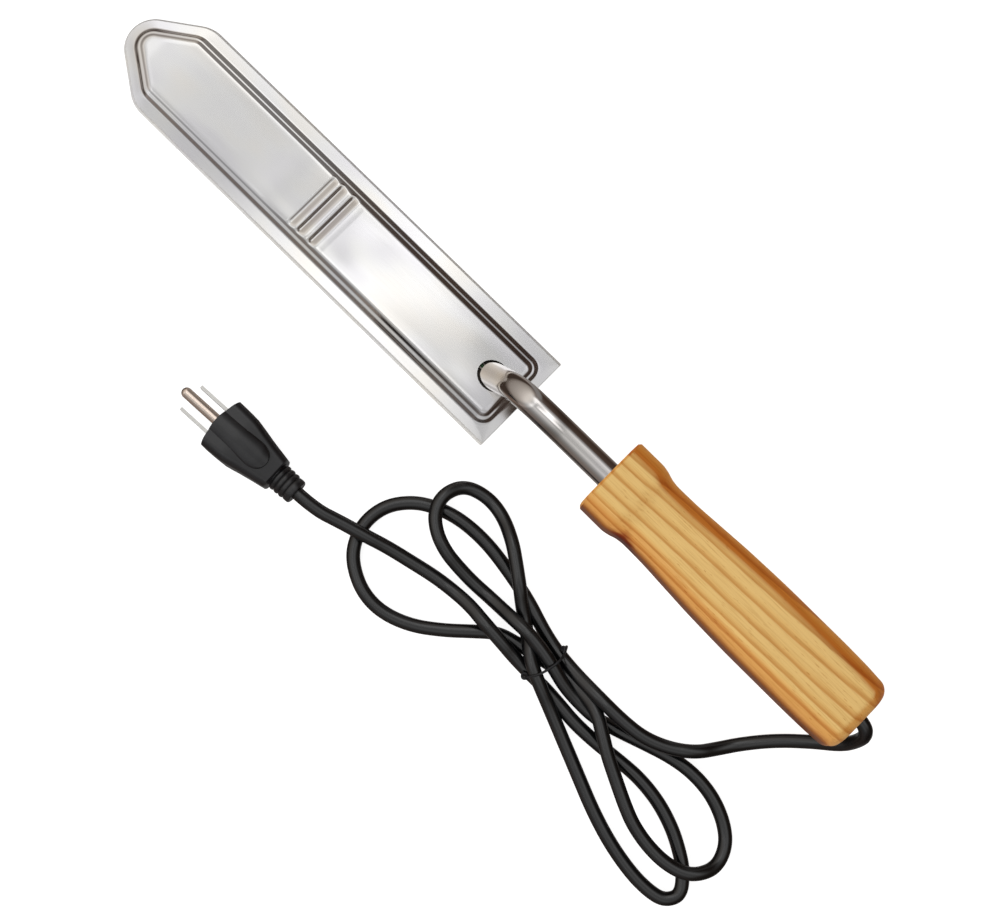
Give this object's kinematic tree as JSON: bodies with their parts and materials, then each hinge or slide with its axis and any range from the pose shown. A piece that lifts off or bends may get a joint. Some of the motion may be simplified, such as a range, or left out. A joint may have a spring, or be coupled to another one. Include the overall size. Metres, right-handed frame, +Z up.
{
  "type": "electric honey uncapping knife",
  "caption": "Heated steel knife for slicing the wax caps off honeycomb, with a cranked neck tube, a wooden handle and a mains cord tied in a hank.",
  "frame": {"origin": "On the surface the blade lies on, under the middle of the knife's length and width, without the free cord and plug", "axes": "+X runs from the blade's tip to the rear of the handle, +Z is up from the blade's flat underside, and the free cord and plug lie on the -Y side"},
  "size_m": [0.4483, 0.139, 0.0474],
  "materials": {
    "blade_steel": "polished stainless",
    "tube_steel": "polished stainless",
    "thermostat_case": "satin",
    "screw_steel": "satin",
    "heating_ribbon": "dull",
    "plated_brass": "satin",
    "pin_nickel": "nickel plated",
    "ground_pin_metal": "nickel plated",
    "mica": "satin",
    "glass_fibre": "woven",
    "handle_wood": "satin varnish",
    "cord_jacket": "satin",
    "plug_plastic": "satin",
    "insert_plastic": "matt",
    "lead_insulation": "satin",
    "core_line": "satin",
    "ground_insulation": "satin",
    "black_rubber": "matt",
    "tie_wire": "satin"
  },
  "bodies": {
    "root": {"blade_base": "blade_steel", "blade_cover": "blade_steel", "heater_core": "mica", "heater_winding": "heating_ribbon", "heater_return": "heating_ribbon", "mica_lower": "mica", "mica_upper": "mica", "insulation_pad": "glass_fibre", "thermostat": "thermostat_case", "thermostat_front_terminal": "plated_brass", "thermostat_rear_terminal": "plated_brass", "neck_bracket": "blade_steel", "neck_tube": "tube_steel", "tube_liner": "glass_fibre", "ground_lug": "plated_brass", "ground_rivet": "thermostat_case", "line_lead": "lead_insulation", "neutral_lead": "lead_insulation", "ground_lead": "ground_insulation", "splice_connectors": "plated_brass", "handle": "handle_wood", "handle_screw": "screw_steel", "cord_core_line": "core_line", "cord_core_neutral": "lead_insulation", "cord_core_ground": "ground_insulation", "cord_end_in_handle": "cord_jacket", "cord_stop": "plated_brass", "cord_grommet": "black_rubber", "cord_hank": "cord_jacket", "cord_tie": "tie_wire", "plug_body": "plug_plastic", "plug_insert": "insert_plastic", "plug_line_blade": "pin_nickel", "plug_neutral_blade": "pin_nickel", "plug_ground_pin": "ground_pin_metal", "cord_handle_lead": "cord_jacket", "cord_plug_lead": "cord_jacket"}
  },
  "joints": []
}
